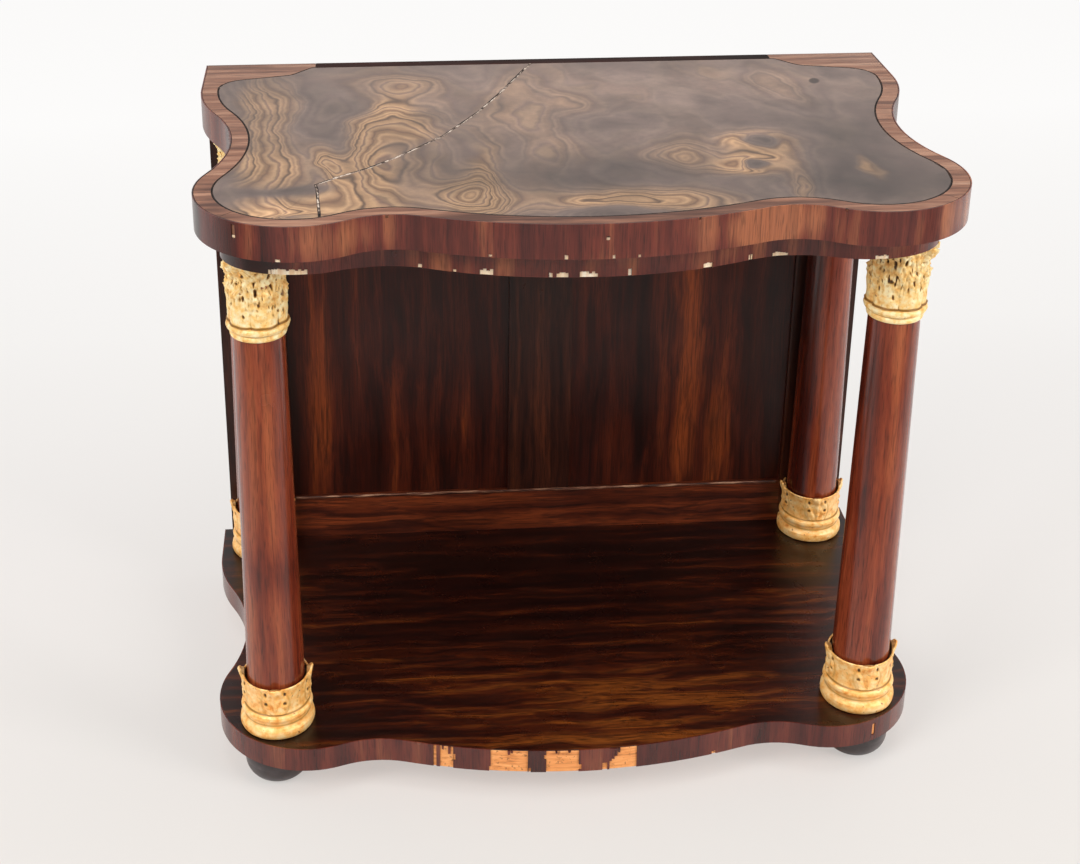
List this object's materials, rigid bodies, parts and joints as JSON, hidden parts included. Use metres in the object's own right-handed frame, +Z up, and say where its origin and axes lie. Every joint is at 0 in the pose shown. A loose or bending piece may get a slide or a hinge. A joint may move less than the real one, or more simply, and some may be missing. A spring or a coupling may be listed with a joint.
{
  "type": "pier table",
  "caption": "Serpentine pier table with a mended stone top, gilded column capitals and bases, a panelled back, a shaped plinth and bun feet.",
  "frame": {"origin": "on the floor, in the middle of the table's width and of the depth of its top", "axes": "+Z up, +X to the right as seen from the front, the front faces -Y and the panelled back +Y"},
  "size_m": [1.034, 0.644, 0.89],
  "materials": {
    "ebonised_wood": "ebonised and polished",
    "giltwood": "carved wood, gilded, pale matt gold",
    "column_rosewood": "red-brown rosewood, French polished",
    "panel_rosewood": "figured rosewood veneer, polished",
    "frame_rosewood": "dark rosewood, polished",
    "plinth_rosewood": "dark rosewood veneer, polished",
    "cross_banded_rosewood": "cross-banded rosewood veneer, polished",
    "border_rosewood": "cross-banded rosewood border, polished",
    "softwood": "bare aged softwood",
    "light_wood": "half-round bead of lighter wood",
    "stone": "banded onyx marble, honed, mended along a crack",
    "iron": "old iron screws"
  },
  "bodies": {
    "root": {"foot_front_left": "ebonised_wood", "column_base_front_left": "giltwood", "column_shaft_front_left": "column_rosewood", "column_capital_front_left": "giltwood", "foot_front_right": "ebonised_wood", "column_base_front_right": "giltwood", "column_shaft_front_right": "column_rosewood", "column_capital_front_right": "giltwood", "foot_rear_left": "ebonised_wood", "column_base_rear_left": "giltwood", "column_shaft_rear_left": "column_rosewood", "column_capital_rear_left": "giltwood", "foot_rear_right": "ebonised_wood", "column_base_rear_right": "giltwood", "column_shaft_rear_right": "column_rosewood", "column_capital_rear_right": "giltwood", "frame_screws": "iron", "top_screws": "iron", "back_panel_left": "panel_rosewood", "back_stile_left": "frame_rosewood", "apron_rail_left": "softwood", "apron_block_front_left": "softwood", "apron_block_rear_left": "softwood", "border_left": "border_rosewood", "border_corner_left": "border_rosewood", "stone_slab_left": "stone", "back_panel_right": "panel_rosewood", "back_stile_right": "frame_rosewood", "apron_rail_right": "softwood", "apron_block_front_right": "softwood", "apron_block_rear_right": "softwood", "border_right": "border_rosewood", "border_corner_right": "border_rosewood", "stone_slab_right": "stone", "back_bottom_rail": "frame_rosewood", "back_top_rail": "frame_rosewood", "back_muntin": "frame_rosewood", "back_bead": "light_wood", "glue_blocks": "softwood", "plinth_top_veneer": "plinth_rosewood", "plinth_board": "softwood", "plinth_edge_veneer": "cross_banded_rosewood", "apron_rail_front": "softwood", "apron_veneer": "cross_banded_rosewood", "top_board": "softwood", "top_edge_veneer": "cross_banded_rosewood", "border_back": "border_rosewood", "border_front": "border_rosewood"}
  },
  "joints": []
}
